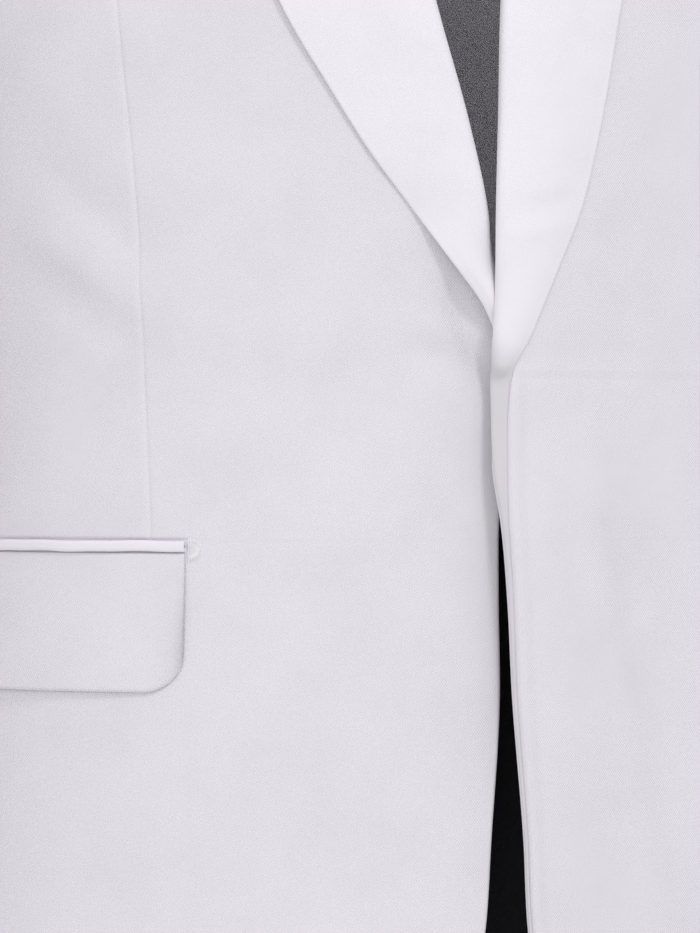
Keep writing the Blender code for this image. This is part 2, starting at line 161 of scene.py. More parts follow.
SHAWL_EDGES = Table("z right left", [
    (-0.080, -0.112, 0.108),
    (-0.140, -0.107, 0.095),
    (-0.190, -0.101, 0.080),
    (-0.235, -0.093, 0.067),
    (-0.270, -0.083, 0.058),
    (-0.306, -0.073, 0.0503),
    (-0.338, -0.0545, 0.0445),
    (-0.359, -0.0410, 0.0400),
    (-0.380, -0.0250, 0.0340),
    (-0.397, -0.0125, 0.0266),
    (-0.414, 0.0000, 0.0194),
    (-0.425, 0.0050, 0.0149),
    (-0.434, 0.0080, 0.0100),
    (-0.450, 0.0080, 0.0074),
    (-0.467, 0.0080, 0.0070),
    (-0.484, 0.0080, 0.0070),
    (-0.515, 0.0080, 0.0086),
    (-0.550, 0.0080, 0.0098),
    (-0.600, 0.0080, 0.0134),
    (-0.632, 0.0080, 0.0148),
    (-0.690, 0.0080, 0.0280),
])
SHAWL_BOTTOM = {1: -0.690, -1: -0.424}
SHAWL_BLEND_START = 30
SHAWL_NECK = Table("climb_degrees edge_climb_degrees edge_x stand", [
    (66.0, 58.0, 0.1130, 0.008),
    (90.0, 90.0, 0.1240, 0.014),
    (99.0, 107.0, 0.1090, 0.020),
    (105.5, 118.0, 0.0800, 0.025),
    (109.5, 123.5, 0.0420, 0.028),
    (110.6, 125.0, 0.0000, 0.029),
])
SLEEVE = Table("step outer_x outer_z inner_x inner_z half_depth centre_y", [
    (0, 0.2225, -0.045, 0.188, -0.248, 0.0760, 0.000),
    (1, 0.2440, -0.052, 0.192, -0.252, 0.0755, 0.000),
    (2, 0.2650, -0.080, 0.197, -0.258, 0.0740, 0.000),
    (3, 0.2790, -0.130, 0.199, -0.270, 0.0715, 0.000),
    (4, 0.2860, -0.200, 0.199, -0.295, 0.0690, 0.001),
    (5, 0.2900, -0.280, 0.200, -0.335, 0.0650, 0.003),
    (6, 0.2920, -0.360, 0.203, -0.385, 0.0600, 0.004),
    (7, 0.2930, -0.450, 0.209, -0.455, 0.0555, -0.003),
    (8, 0.2940, -0.550, 0.214, -0.550, 0.0500, -0.014),
    (9, 0.2945, -0.655, 0.217, -0.650, 0.0450, -0.028),
])
TROUSERS = Table("z centre_x half_width front back", [
    (-0.450, 0.000, 0.1500, 0.116, 0.104),
    (-0.490, 0.000, 0.1530, 0.118, 0.107),
    (-0.550, 0.012, 0.1480, 0.118, 0.112),
    (-0.620, 0.040, 0.1270, 0.115, 0.113),
    (-0.680, 0.071, 0.1020, 0.110, 0.109),
    (-0.715, 0.0900, 0.0865, 0.104, 0.106),
    (-0.800, 0.096, 0.0830, 0.093, 0.098),
    (-1.000, 0.103, 0.0720, 0.077, 0.083),
    (-1.200, 0.109, 0.0640, 0.068, 0.075),
    (-1.490, 0.114, 0.0580, 0.060, 0.065),
])

# ---------------------------------------------------------------- how the cloth lies

# How far the left front's edge stands off the trunk; it is held in at the closing, and rolls out above it.
CLOSING = Table("z lift", [
    (-0.200, 0.0000),
    (-0.280, 0.0020),
    (-0.340, 0.0045),
    (-0.385, 0.0065),
    (-0.407, 0.0072),
    (-0.420, 0.0070),
    (-0.432, 0.0064),
    (-0.442, 0.0072),
    (-0.460, 0.0088),
    (-0.600, 0.0090),
    (-0.745, 0.0080),
])
# How far each shawl's outer edge stands off its front.
SHAWL_OFF = Table("z right left", [
    (-0.200, 0.0014, 0.0010),
    (-0.306, 0.0022, 0.0010),
    (-0.338, 0.0018, 0.0010),
    (-0.359, 0.0016, 0.0010),
    (-0.384, 0.0020, 0.0010),
    (-0.393, 0.0042, 0.0010),
    (-0.402, 0.0060, 0.0010),
    (-0.410, 0.0062, 0.0010),
    (-0.418, 0.0048, 0.0010),
    (-0.424, 0.0036, 0.0009),
    (-0.440, 0.0030, 0.0007),
    (-0.690, 0.0030, 0.0007),
])
# Where the left lapel's fold ends and its facing, rolled out to the front's edge, starts.
FACING_TOP = -0.4345
# The dart from under the chest down to the pocket.
DART = Table("z x", [(-0.235, 0.1285), (-0.306, 0.1255), (-0.372, 0.1187), (-0.411, 0.1162), (-0.493, 0.1130),
                     (-0.600, 0.1120), (-0.745, 0.1180)])
DART_TOP = -0.262
DART_WIDTH = 0.0005
DART_DEPTH = 0.00035
DART_RIDGE = 0.00016
RIGHT_ROLL_LIFT = 0.0035
FACING_SLANT = 0.42         # drop of the facing from its seam to the edge, for each metre across
BEAD_HEIGHT = 0.0015        # the left front's rounded edge beside that seam
GROOVE_DEPTH = 0.0004
SLIT_DEPTH = 0.0008

# Creases as soft lines: both ends (own side across, height), half width, and height above (+) or below (-).
FRONT_CREASES = {
    -1: [
        (0.154, -0.356, 0.110, -0.400, 0.0075, -0.0017),
        (0.156, -0.380, 0.112, -0.418, 0.0075, 0.0015),
        (0.154, -0.398, 0.112, -0.432, 0.0080, -0.0012),
        (-0.012, -0.433, 0.030, -0.428, 0.0050, -0.0014),
        (-0.014, -0.424, 0.034, -0.416, 0.0040, 0.0007),
        (0.0145, -0.402, -0.002, -0.440, 0.0040, -0.0024),
        (0.004, -0.440, 0.090, -0.590, 0.0300, 0.0018),
        (0.020, -0.420, 0.080, -0.470, 0.0220, -0.0012),
        (0.086, -0.520, 0.106, -0.560, 0.0080, -0.0012),
        (0.040, -0.520, 0.080, -0.735, 0.0260, -0.0014),
    ],
    1: [
        (0.044, -0.484, 0.060, -0.524, 0.0055, -0.0019),
        (0.046, -0.380, 0.058, -0.440, 0.0070, -0.0012),
        (0.016, -0.4465, 0.070, -0.470, 0.0140, -0.0013),
        (0.022, -0.450, 0.060, -0.640, 0.0090, -0.0012),
        (0.036, -0.470, 0.074, -0.660, 0.0100, 0.0011),
        (0.150, -0.370, 0.110, -0.402, 0.0080, -0.0018),
        (0.152, -0.408, 0.118, -0.430, 0.0090, -0.0016),
        (0.060, -0.560, 0.085, -0.740, 0.0240, -0.0016),
    ],
}
# The same on the left lapel, above where it closes.
LAPEL_CREASES = [
    (0.006, -0.378, 0.034, -0.374, 0.0042, -0.0008),
    (0.004, -0.388, 0.030, -0.384, 0.0045, 0.0007),
]
BACK_CREASES = {
    -1: [
        (0.150, -0.200, 0.070, -0.330, 0.0140, -0.0039),
        (0.155, -0.250, 0.095, -0.385, 0.0120, 0.0024),
        (0.150, -0.350, 0.050, -0.425, 0.0110, -0.0036),
        (0.140, -0.395, 0.030, -0.448, 0.0090, -0.0027),
        (0.100, -0.440, 0.075, -0.700, 0.0220, -0.0033),
        (0.030, -0.060, 0.085, -0.040, 0.0120, -0.0018),
    ],
    1: [
        (0.150, -0.190, 0.080, -0.310, 0.0130, -0.0036),
        (0.155, -0.265, 0.100, -0.400, 0.0130, 0.0021),
        (0.152, -0.340, 0.040, -0.410, 0.0120, -0.0039),
        (0.135, -0.405, 0.045, -0.462, 0.0080, -0.0021),
        (0.090, -0.460, 0.060, -0.690, 0.0240, -0.0027),
        (0.035, -0.070, 0.090, -0.045, 0.0100, -0.0015),
    ],
}
SIDE_CREASES = {
    -1: [
        (0.000, -0.345, 0.060, -0.385, 0.0090, -0.0028),
        (0.000, -0.405, 0.070, -0.425, 0.0080, -0.0024),
        (0.030, -0.470, 0.038, -0.690, 0.0150, 0.0017),
    ],
    1: [
        (0.000, -0.360, 0.065, -0.380, 0.0090, -0.0027),
        (0.005, -0.412, 0.060, -0.440, 0.0100, -0.0022),
        (0.040, -0.450, 0.030, -0.680, 0.0140, 0.0014),
    ],
}
# On a sleeve, across runs round the arm from its top, forward positive.
SLEEVE_CREASES = {
    -1: [
        (0.110, -0.300, 0.020, -0.360, 0.0090, -0.0051),
        (0.115, -0.350, 0.015, -0.385, 0.0080, -0.0058),
        (0.105, -0.395, 0.025, -0.430, 0.0085, -0.0048),
        (0.120, -0.330, 0.050, -0.372, 0.0070, 0.0037),
        (-0.060, -0.180, -0.085, -0.330, 0.0120, -0.0037),
        (0.060, -0.170, 0.080, -0.280, 0.0110, -0.0034),
        (0.070, -0.520, 0.010, -0.560, 0.0100, -0.0027),
        (-0.050, -0.440, -0.080, -0.590, 0.0120, -0.0024),
        (0.200, -0.300, 0.130, -0.365, 0.0100, -0.0041),
    ],
    1: [
        (0.112, -0.310, 0.030, -0.352, 0.0085, -0.0048),
        (0.110, -0.360, 0.010, -0.402, 0.0090, -0.0054),
        (0.118, -0.402, 0.040, -0.428, 0.0070, -0.0044),
        (0.110, -0.336, 0.040, -0.380, 0.0075, 0.0034),
        (-0.055, -0.160, -0.075, -0.310, 0.0130, -0.0041),
        (0.050, -0.150, 0.085, -0.270, 0.0110, -0.0031),
        (0.080, -0.500, 0.020, -0.548, 0.0090, -0.0031),
        (-0.045, -0.470, -0.070, -0.610, 0.0120, -0.0020),
        (0.195, -0.320, 0.135, -0.380, 0.0100, -0.0037),
    ],
}
# On the trousers, across runs round the leg from its middle front, outward positive.
LEG_CREASES = {
    -1: [
        (-0.080, -0.700, 0.040, -0.640, 0.0110, -0.0036),
        (-0.085, -0.725, 0.020, -0.690, 0.0100, -0.0034),
        (-0.070, -0.760, 0.010, -0.745, 0.0120, -0.0022),
        (-0.060, -0.985, 0.050, -1.010, 0.0140, -0.0031),
        (-0.050, -1.050, 0.055, -1.035, 0.0120, -0.0028),
        (-0.060, -1.400, 0.050, -1.425, 0.0120, -0.0042),
        (-0.055, -1.450, 0.060, -1.440, 0.0100, -0.0034),
        (0.180, -1.000, 0.290, -1.030, 0.0150, -0.0039),
        (0.185, -1.060, 0.280, -1.050, 0.0130, -0.0031),
        (0.200, -0.740, 0.330, -0.700, 0.0120, -0.0042),
        (0.200, -0.780, 0.320, -0.760, 0.0130, -0.0031),
    ],
    1: [
        (-0.082, -0.705, 0.030, -0.650, 0.0120, -0.0034),
        (-0.080, -0.735, 0.025, -0.705, 0.0100, -0.0036),
        (-0.075, -0.775, 0.000, -0.765, 0.0120, -0.0020),
        (-0.055, -0.995, 0.055, -1.005, 0.0130, -0.0034),
        (-0.055, -1.070, 0.045, -1.048, 0.0130, -0.0025),
        (-0.050, -1.410, 0.055, -1.418, 0.0120, -0.0039),
        (-0.060, -1.455, 0.045, -1.450, 0.0100, -0.0034),
        (0.185, -1.010, 0.285, -1.024, 0.0150, -0.0036),
        (0.190, -1.075, 0.285, -1.060, 0.0130, -0.0034),
        (0.200, -0.735, 0.325, -0.710, 0.0120, -0.0039),
        (0.205, -0.790, 0.315, -0.765, 0.0130, -0.0028),
    ],
}
PRESS_CREASE = 0.0030       # height of the trousers' pressed crease
PRESS_WIDTH = 0.0060

# Distances from an edge at which a grid is crowded, so that the edge can turn.
EDGE_STEPS = np.array((0.0, 0.0003, 0.0007, 0.0012, 0.0020, 0.0034, 0.0055))
DART_STEPS = np.array((0.0, 0.00022, 0.00045, 0.0008, 0.0014, 0.0024, 0.0040))


# ---------------------------------------------------------------- the figure's surface

def signed_power(value, power):
    return np.sign(value) * np.abs(value) ** power


def smooth_step(t):
    t = np.clip(t, 0.0, 1.0)
    return t * t * (3 - 2 * t)


def side_name(side):
    return "left" if side > 0 else "right"


def shoulder_height(x):
    out = np.maximum(0.0, np.abs(x) - NECK_HALF) / (SHOULDER_HALF - NECK_HALF)
    return NECK_TOP - (NECK_TOP - SHOULDER_TOP) * out ** 1.2


def climb_at(x, z):
    """The climb of a point on the front: an angle up to the shoulder's ridge, negative below the underarm."""
    share = np.clip((z - ARMPIT) / (shoulder_height(x) - ARMPIT), 0.0, 1.0)
    return np.where(z < ARMPIT, (z - ARMPIT) / CLIMB_RISE, np.arcsin(share))


def over_trunk(x, climb):
    """Points of the trunk at x, climbing the front (below pi / 2), over the ridge and down the back."""
    turn = np.clip(climb, 0.0, math.pi)
    below = np.minimum(climb, 0.0) - np.maximum(climb - math.pi, 0.0)
    z = ARMPIT + (shoulder_height(x) - ARMPIT) * np.sin(turn) + CLIMB_RISE * below
    forward = np.cos(turn)
    depth = np.where(forward > 0, TRUNK.at(z, "front"), TRUNK.at(z, "back"))
    across = np.minimum(np.abs(x) / TRUNK.at(z, "half_width"), 0.999)
    reach = (1 - across ** ROUNDNESS) ** (1 / ROUNDNESS)
    return np.stack(np.broadcast_arrays(x, -depth * reach * forward, z), axis=-1)


def round_section(table, angle, z, centre_x=0.0):
    """Points of a rounded ellipse at height z; the angle turns from the front past the side to the back."""
    depth = np.where(np.cos(angle) > 0, table.at(z, "front"), table.at(z, "back"))
    x = centre_x + table.at(z, "half_width") * signed_power(np.sin(angle), 2 / ROUNDNESS)
    y = -depth * signed_power(np.cos(angle), 2 / ROUNDNESS)
    return np.stack(np.broadcast_arrays(x, y, z), axis=-1)


def round_trunk(angle, z):
    return round_section(TRUNK, angle, z)


def round_trousers(angle, z):
    return round_section(TROUSERS, angle, z, TROUSERS.at(z, "centre_x"))


def lifted(surface, u, v, lift):
    """Points of the surface, moved out along its normal."""
    step = 1e-4
    along_u = surface(u + step, v) - surface(u - step, v)
    along_v = surface(u, v + step) - surface(u, v - step)
    normal = np.cross(along_u, along_v)
    normal /= np.linalg.norm(normal, axis=-1, keepdims=True)
    return surface(u, v) + normal * np.asarray(lift)[..., None]


# ---------------------------------------------------------------- relief

def crease_relief(creases, across, up):
    """Soft troughs and ridges along lines, fading out towards both ends."""
    relief = np.zeros(np.broadcast(across, up).shape)
    for start_x, start_z, end_x, end_z, width, height in creases:
        run = np.array((end_x - start_x, end_z - start_z))
        length = np.hypot(*run)
        along = ((across - start_x) * run[0] + (up - start_z) * run[1]) / length ** 2
        off = ((across - start_x) * run[1] - (up - start_z) * run[0]) / length
        fade = np.clip(4 * along * (1 - along), 0.0, 1.0) ** 0.8
        # One flank of a real fold is steeper than the other.
        lean = np.where(off > 0, 1.35, 0.8) * width
        relief += height * fade * np.exp(-(off / lean) ** 2)
    return relief


def unevenness(across, up, phase, height=0.00022):
    """The slight waviness of hung cloth, as a few long sines that never quite repeat."""
    waves = [(41, 17, 0.3), (-23, 37, 1.7), (67, -29, 2.9), (13, 71, 4.1), (-83, -47, 5.3)]
    total = sum(np.sin(a * across + b * up + c + phase) / (1 + i / 2) for i, (a, b, c) in enumerate(waves))
    return height * total


def turned_edge(distance, radius, depth):
    """The drop of a cloth edge that turns under, within its radius of the edge."""
    share = 1 - np.clip(distance / radius, 0.0, 1.0)
    return -depth * (1 - np.sqrt(1 - share ** 2))


def seam_edge(distance):
    return turned_edge(distance, 0.0012, 0.0006)


def hem_edge(distance):
    return turned_edge(distance, 0.0014, 0.0009)


def crowded(start, end, count, near_start, near_end):
    """Columns between two lines, given a value a row, crowded near both by the listed distances."""
    start = np.asarray(start, float)[:, None]
    end = np.asarray(end, float)[:, None]
    squeeze = np.minimum(1.0, np.abs(end - start) / (4 * max(near_start[-1], near_end[-1])))
    way = np.sign(end - start)
    low = start + way * near_start * squeeze
    high = end - way * near_end[::-1] * squeeze
    share = np.linspace(0, 1, count)[1:-1]
    return np.hstack((low, low[:, -1:] + (high[:, :1] - low[:, -1:]) * share, high))


def crowded_line(start, end, count, near_start=EDGE_STEPS, near_end=EDGE_STEPS):
    return crowded([start], [end], count, near_start, near_end)[0]


# ---------------------------------------------------------------- materials

YARN_SHARE = 0.35           # height of the yarns, and of the fuzz, beside the twill's own lines
FUZZ_SHARE = 0.6
WEAVE_IN_COLOUR = 0.35      # how far the weave's height shows in the colour


def add_node(tree, kind, **values):
    node = tree.nodes.new(kind)
    for name, value in values.items():
        if name in node.inputs:
            node.inputs[name].default_value = value
        else:
            setattr(node, name, value)
    return node


def wool(name, colour, shade, twill, bump, sheen):
    """A twill: raised diagonal lines broken into yarns, a little fuzz, and faint clouds of colour."""
    material = bpy.data.materials.new(name)
    material.use_nodes = True
    tree = material.node_tree
    link = tree.links.new
    shader = tree.nodes["Principled BSDF"]
    shader.inputs["Roughness"].default_value = 0.82
    shader.inputs["Specular IOR Level"].default_value = 0.25
    shader.inputs["Sheen Weight"].default_value = sheen
    shader.inputs["Sheen Roughness"].default_value = 0.45

    place = tree.nodes.new("ShaderNodeUVMap")
    # A wave texture's bands repeat every 2 pi / (20 x scale).
    wave_scale = math.tau / 20 / twill
    lines = []
    for degrees, kind in ((38.0, "twill line"), (-52.0, "yarn")):
        turn = add_node(tree, "ShaderNodeMapping", label=kind)
        turn.inputs["Rotation"].default_value = (0, 0, math.radians(degrees))
        link(place.outputs["UV"], turn.inputs["Vector"])
        wave = add_node(tree, "ShaderNodeTexWave", wave_type="BANDS", bands_direction="X", Scale=wave_scale,
                        Distortion=0.25, Detail=1.0)
        wave.inputs["Detail Scale"].default_value = 0.4
        link(turn.outputs["Vector"], wave.inputs["Vector"])
        lines.append(wave)
    weave = add_node(tree, "ShaderNodeMath", operation="MULTIPLY_ADD")
    weave.inputs[1].default_value = YARN_SHARE
    link(lines[1].outputs["Fac"], weave.inputs[0])
    link(lines[0].outputs["Fac"], weave.inputs[2])
    fuzz = add_node(tree, "ShaderNodeTexNoise", Scale=0.9 / twill, Detail=3.0, Roughness=0.65)
    link(place.outputs["UV"], fuzz.inputs["Vector"])
    height = add_node(tree, "ShaderNodeMath", operation="MULTIPLY_ADD")
    height.inputs[1].default_value = FUZZ_SHARE
    link(fuzz.outputs["Fac"], height.inputs[0])
    link(weave.outputs["Value"], height.inputs[2])
    relief = add_node(tree, "ShaderNodeBump", Strength=1.0, Distance=bump)
    link(height.outputs["Value"], relief.inputs["Height"])
    link(relief.outputs["Normal"], shader.inputs["Normal"])

    cloud = add_node(tree, "ShaderNodeTexNoise", Scale=28.0, Detail=4.0, Roughness=0.6)
    link(place.outputs["UV"], cloud.inputs["Vector"])
    mix_in = add_node(tree, "ShaderNodeMath", operation="MULTIPLY_ADD")
    mix_in.inputs[1].default_value = WEAVE_IN_COLOUR
    link(height.outputs["Value"], mix_in.inputs[0])
    link(cloud.outputs["Fac"], mix_in.inputs[2])
    ramp = tree.nodes.new("ShaderNodeValToRGB")
    ramp.color_ramp.elements[0].position = 0.55
    ramp.color_ramp.elements[0].color = (*shade, 1.0)
    ramp.color_ramp.elements[1].position = 1.35 / 1.4
    ramp.color_ramp.elements[1].color = (*colour, 1.0)
    link(mix_in.outputs["Value"], ramp.inputs["Fac"])
    link(ramp.outputs["Color"], shader.inputs["Base Color"])
    return material


def paint_shade_below(material, slope, low, high, tone):
    """Paints shade into a cloth's colour below a slanting line: it darkens as z + slope * x falls from high
    to low. This darkening is painted shade, standing in for the light the cloth loses where it turns away
    from it.
    """
    tree = material.node_tree
    link = tree.links.new
    colour = tree.nodes["Principled BSDF"].inputs["Base Color"]
    undimmed = colour.links[0].from_socket
    place = tree.nodes.new("ShaderNodeTexCoord")
    axes = tree.nodes.new("ShaderNodeSeparateXYZ")
    link(place.outputs["Object"], axes.inputs["Vector"])
    line = add_node(tree, "ShaderNodeMath", operation="MULTIPLY_ADD")
    line.inputs[1].default_value = slope
    link(axes.outputs["X"], line.inputs[0])
    link(axes.outputs["Z"], line.inputs[2])
    fade = add_node(tree, "ShaderNodeMapRange", interpolation_type="SMOOTHSTEP")
    fade.inputs["From Min"].default_value = low
    fade.inputs["From Max"].default_value = high
    fade.inputs["To Min"].default_value = tone
    link(line.outputs["Value"], fade.inputs["Value"])
    dimmed = add_node(tree, "ShaderNodeVectorMath", operation="SCALE")
    link(undimmed, dimmed.inputs["Vector"])
    link(fade.outputs["Result"], dimmed.inputs["Scale"])
    link(dimmed.outputs["Vector"], colour)


def plain(name, colour, roughness):
    material = bpy.data.materials.new(name)
    material.use_nodes = True
    shader = material.node_tree.nodes["Principled BSDF"]
    shader.inputs["Base Color"].default_value = (*colour, 1.0)
    shader.inputs["Roughness"].default_value = roughness
    return material


def silk_thread(name, colour):
    """Thread with a faint twist along it."""
    material = plain(name, colour, 0.5)
    tree = material.node_tree
    place = tree.nodes.new("ShaderNodeTexCoord")
    twist = add_node(tree, "ShaderNodeTexNoise", Scale=2500.0, Detail=2.0)
    relief = add_node(tree, "ShaderNodeBump", Strength=0.6, Distance=0.00008)
    tree.links.new(place.outputs["Object"], twist.inputs["Vector"])
    tree.links.new(twist.outputs["Fac"], relief.inputs["Height"])
    tree.links.new(relief.outputs["Normal"], tree.nodes["Principled BSDF"].inputs["Normal"])
    return material


# ---------------------------------------------------------------- making a piece

def unrolled(points):
    """The grid laid flat: distances across each row, and up the middle of the grid."""
    across = np.linalg.norm(np.diff(points, axis=1), axis=2)
    u = np.hstack((np.zeros((len(points), 1)), np.cumsum(across, axis=1)))
    up = np.linalg.norm(np.diff(points, axis=0), axis=2).mean(axis=1)
    v = np.concatenate(([0.0], np.cumsum(up)))
    return u, np.broadcast_to(v[:, None], u.shape)


def keep_rim_sharp(mesh, rows, columns):
    """Marks the grid's border, so that the wall's rim doesn't darken the face beside it."""
    ends = np.empty(len(mesh.edges) * 2, np.int32)
    mesh.edges.foreach_get("vertices", ends)
    row, column = np.divmod(ends.reshape(-1, 2), columns)
    rim = np.zeros(len(mesh.edges), bool)
    for place, last in ((row, rows - 1), (column, columns - 1)):
        rim |= (place == 0).all(axis=1) | (place == last).all(axis=1)
    sharp = mesh.attributes.new("sharp_edge", "BOOLEAN", "EDGE")
    sharp.data.foreach_set("value", rim)


def mesh_object(name, points, uv, cloth):
    rows, columns = points.shape[:2]
    index = np.arange(rows * columns).reshape(rows, columns)
    corners = (index[:-1, :-1], index[:-1, 1:], index[1:, 1:], index[1:, :-1])
    faces = np.stack(corners, axis=-1).reshape(-1, 4)
    mesh = bpy.data.meshes.new(name)
    mesh.from_pydata(points.reshape(-1, 3).tolist(), [], faces.tolist())
    layer = mesh.uv_layers.new(name="UVMap")
    layer.data.foreach_set("uv", uv.reshape(-1, 2)[faces.reshape(-1)].reshape(-1))
    mesh.materials.append(cloth)
    mesh.shade_smooth()
    keep_rim_sharp(mesh, rows, columns)
    piece = bpy.data.objects.new(name, mesh)
    bpy.context.scene.collection.objects.link(piece)
    return piece


def make_cloth(node, points, side, wall, cloth, grain_start=None):
    """A cloth piece from its outer face's grid, given its wall's thickness and replacing its CAD node."""
    u, v = unrolled(points)
    if grain_start is not None:
        u = u + np.asarray(grain_start)[:, None]
    uv = np.stack((u * side, v), axis=-1)
    points = points * (side, 1, 1)
    if side < 0:
        points = points[:, ::-1]
        uv = uv[:, ::-1]
    piece = mesh_object(node + "_cloth", points, uv, cloth)
    solidify = piece.modifiers.new("wall", "SOLIDIFY")
    solidify.thickness = wall
    solidify.offset = -1.0
    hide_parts(node)
    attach(piece, "root")


# ---------------------------------------------------------------- jacket

def closing_lift(x, z, side):
    """How far a front stands off the trunk near its edge: the right one does so only above the closing."""
    if side < 0:
        near = 1 - smooth_step((x - front_edge(z, side)) / 0.030)
        above_closing = smooth_step((z + 0.415) / 0.05)
        below_chest = 1 - smooth_step((z + 0.20) / 0.10)
        return RIGHT_ROLL_LIFT * near * above_closing * below_chest
    across = 1 - smooth_step((x - OVERLAP_EDGE) / (OVERLAP_REACH - OVERLAP_EDGE))
    return CLOSING.at(z, "lift") * across * np.where(z > -0.200, 0.0, 1.0)


def front_edge(z, side):
    return side * FRONT_EDGES.at(z, side_name(side))


def seam_line(z, side):
    """Where a front's outer cloth starts: at the facing's seam below the left closing."""
    edge = front_edge(z, side)
    return np.clip(side * SHAWL_EDGES.at(z, side_name(side)), edge + 0.0010, edge + 0.0065)


def facing_roll(x, z, side):
    """Below the left closing the facing slants from its seam to the edge, beside the front's rounded edge."""
    if side < 0:
        return 0.0 * x
    edge, seam = front_edge(z, side), seam_line(z, side)
    below = smooth_step((FACING_TOP - z) / 0.004)
    slant = -FACING_SLANT * (seam - edge) * (1 - np.clip((x - edge) / (seam - edge), 0.0, 1.0))
    bead = BEAD_HEIGHT * np.exp(-((x - seam - 0.0024) / 0.0019) ** 2)
    groove = -GROOVE_DEPTH * np.exp(-((x - seam) / 0.0004) ** 2)
    return below * (slant + bead + groove)


def pocket_slit(x, z):
    """The front sinks along the slit that the pocket's welt stands in."""
    inside = smooth_step((x - round_trunk(POCKET_START, z)[..., 0] + 0.0006) / 0.0012)
    return -SLIT_DEPTH * inside * np.exp(-((z - POCKET_TOP - 0.0001) / 0.0005) ** 2)


def front_lift(x, z, side):
    """All that moves a front off the trunk, apart from its own edges and seams."""
    relief = closing_lift(x, z, side) + facing_roll(x, z, side) + pocket_slit(x, z)
    return relief + crease_relief(FRONT_CREASES[side], x, z) + unevenness(x, z, side)


def dart_relief(x, z):
    """A stitched groove with the pressed allowance showing as a faint ridge on its outer side."""
    off = x - DART.at(z, "x")
    active = smooth_step((DART_TOP - z) / 0.020) * smooth_step((z - POCKET_TOP) / 0.0004)
    groove = -DART_DEPTH * np.exp(-(off / DART_WIDTH) ** 2)
    ridge = DART_RIDGE * np.exp(-((off - 0.0022) / 0.0013) ** 2)
    return active * (groove + ridge)


def lower_heights():
    heights = crowded_line(JACKET_HEM, ARMPIT, 165, near_end=np.array((0.0,)))
    return np.unique(np.concatenate((heights, POCKET_TOP + DART_STEPS, POCKET_TOP - DART_STEPS[1:])))


def on_front(x, climb, side, lift):
    z = over_trunk(x, climb)[..., 2]
    return lifted(over_trunk, x, climb, front_lift(x, z, side) + lift)


def make_front(side, cloth):
    heights = lower_heights()
    climbs = climb_at(0.0, heights)
    upper = crowded_line(0.0, math.pi / 2 - SEAM_ANGLE, 80, np.array((0.0,)), EDGE_STEPS * 6)[1:]
    inner = front_edge(heights, side)
    seam = seam_line(heights, side)
    outer = TRUNK.at(heights, "half_width") * SIDE_SEAM - SEAM_GAP
    dart = DART.at(heights, "x")
    upper_inner = shawl_roll(upper, side)[0]
    upper_outer = ARMHOLE.at(np.degrees(upper), "x") - SEAM_GAP
    dart_share = (dart[-1] - inner[-1]) / (outer[-1] - inner[-1])
    upper_dart = upper_inner + (upper_outer - upper_inner) * dart_share

    climbs = np.concatenate((climbs, upper))
    inner = np.concatenate((inner, upper_inner))
    seam = np.concatenate((seam, upper_inner + seam[-1] - inner[len(heights) - 1]))
    outer = np.concatenate((outer, upper_outer))
    dart = np.concatenate((dart, upper_dart))
    # Under the shawl's fold the front stops just inside it.
    inset = 0.0012 * smooth_step((climbs - climb_at(0.0, -0.470)) / 0.05)
    inner = inner + inset

    x = np.hstack((crowded(inner, seam, 4, EDGE_STEPS, DART_STEPS / 2),
                   crowded(seam, dart, 40, EDGE_STEPS, DART_STEPS)[:, 1:],
                   crowded(dart, outer, 22, DART_STEPS, EDGE_STEPS / 2)[:, 1:]))
    climb = np.broadcast_to(climbs[:, None], x.shape)
    z = over_trunk(x, climb)[..., 2]
    slant = 1 / np.sqrt(1 + np.gradient(inner, z[:, 0]) ** 2)
    lift = turned_edge((x - inner[:, None]) * slant[:, None], 0.0014, 0.0010)
    lift = lift + seam_edge((outer[:, None] - x) * 2)
    lift = lift + hem_edge(z - JACKET_HEM)
    lift = lift + seam_edge((math.pi / 2 - climb) * SHOULDER_DEPTH)
    lift = lift + dart_relief(x, z)
    points = on_front(x, climb, side, lift)
    make_cloth("front_" + side_name(side), points, side, WOOL_WALL, cloth, grain_start=inner)


def make_side(side, cloth):
    heights = lower_heights()
    seam = math.asin(SIDE_SEAM ** (ROUNDNESS / 2)) + SEAM_GAP / 0.1
    angles = crowded_line(seam, math.pi - seam, 24, EDGE_STEPS * 8, EDGE_STEPS * 8)
    share = (angles - seam) / (math.pi - 2 * seam)
    scoop = UNDERARM_SCOOP * np.sin(math.pi * share)
    z = heights[:, None] - scoop * smooth_step((heights[:, None] - ARMPIT + 0.1) / 0.1)
    across = np.broadcast_to(share * SIDE_PANEL_WIDTH, z.shape)
    lift = crease_relief(SIDE_CREASES[side], across, z) + unevenness(across, z, 2 + side)
    lift = lift + seam_edge(np.minimum(share, 1 - share) * SIDE_PANEL_WIDTH)
    lift = lift + hem_edge(heights[:, None] - JACKET_HEM)
    points = lifted(round_trunk, np.broadcast_to(angles, z.shape), z, lift)
    make_cloth("side_" + side_name(side), points, side, WOOL_WALL, cloth)


def neckline_climb(x):
    across = np.minimum(x / NECK_HALF, 1.0)
    return math.pi / 2 + NECKLINE_DIP * (1 - across ** 2) ** NECKLINE_POWER


def neckline_x(climb):
    dip = np.clip((climb - math.pi / 2) / NECKLINE_DIP, 0.0, 1.0)
    return NECK_HALF * np.sqrt(1 - dip ** (1 / NECKLINE_POWER))


